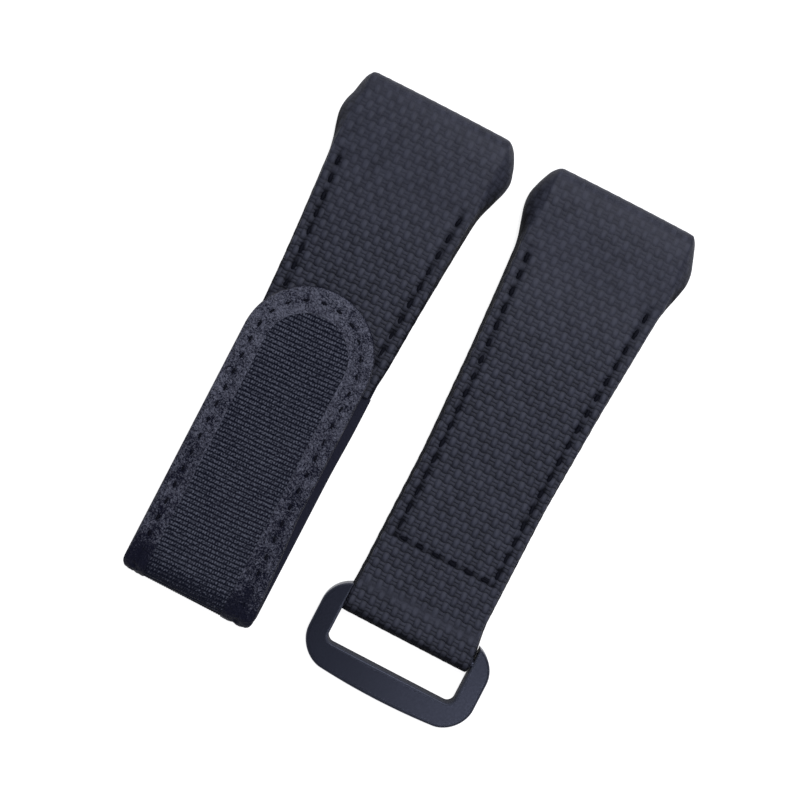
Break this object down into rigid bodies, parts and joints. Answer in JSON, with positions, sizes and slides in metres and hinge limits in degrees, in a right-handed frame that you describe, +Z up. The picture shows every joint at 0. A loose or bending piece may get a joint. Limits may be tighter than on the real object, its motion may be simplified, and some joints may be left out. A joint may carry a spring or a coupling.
{
  "type": "watch strap",
  "caption": "Two-piece woven strap for a wristwatch: one half ends in a metal ring, the other in a leather-edged hook and loop flap folded back on itself.",
  "frame": {"origin": "on the surface the two halves lie on, midway between them and midway along them", "axes": "+Z up from the wrist side, +Y towards the ends that meet the watch case, +X from the hook half to the ring half"},
  "size_m": [0.0581, 0.082, 0.0055],
  "materials": {
    "weave": "coarse woven nylon, black",
    "lining": "smooth black leather",
    "leather": "fine-grained black leather",
    "webbing": "ribbed black webbing",
    "loops": "brushed loop tape, black",
    "hooks": "hook tape, black",
    "thread": "black sewing thread",
    "foam": "dark foam padding",
    "insert": "moulded plastic, black",
    "sleeve": "turned steel",
    "black_metal": "matt black coated steel"
  },
  "bodies": {
    "strap": {"hook_skin": "weave", "hook_lining": "lining", "hook_core": "foam", "hook_end_insert": "insert", "hook_screw_sleeve_left": "sleeve", "hook_screw_sleeve_right": "sleeve", "hook_stitch_left": "thread", "hook_stitch_right": "thread", "tail_strip": "leather", "loop_patch": "loops", "ring_skin": "weave", "ring_lining": "lining", "ring_core": "foam", "ring_end_insert": "insert", "ring_screw_sleeve_left": "sleeve", "ring_screw_sleeve_right": "sleeve", "ring_stitch": "thread"},
    "fold_first": {"fold_link_1": "leather"},
    "fold_second": {"fold_link_2": "leather"},
    "flap": {"flap_border": "leather", "flap_panel": "webbing", "flap_stitch": "thread", "hook_patch": "hooks"},
    "ring_loop": {"ring": "black_metal"}
  },
  "joints": [
    {"name": "flap_open", "type": "hinge", "parent": "strap", "child": "fold_first", "pos_m": [-0.01615, -0.0395, 0.00029], "axis": [1, 0, 0], "range_deg": [0, 60]},
    {"name": "fold_bend_1", "type": "hinge", "parent": "fold_first", "child": "fold_second", "pos_m": [-0.01615, -0.0406, 0.0022], "axis": [1, 0, 0], "range_deg": [0, 60]},
    {"name": "fold_bend_2", "type": "hinge", "parent": "fold_second", "child": "flap", "pos_m": [-0.01615, -0.0395, 0.00411], "axis": [1, 0, 0], "range_deg": [0, 60]},
    {"name": "ring_swing", "type": "hinge", "parent": "strap", "child": "ring_loop", "pos_m": [0.01565, -0.0299, 0.00155], "axis": [-1, 0, 0], "range_deg": [-150, 150]}
  ],
  "couplings": [
    {"joint": "fold_bend_1", "follows": "flap_open", "ratio": 1},
    {"joint": "fold_bend_2", "follows": "flap_open", "ratio": 1}
  ]
}
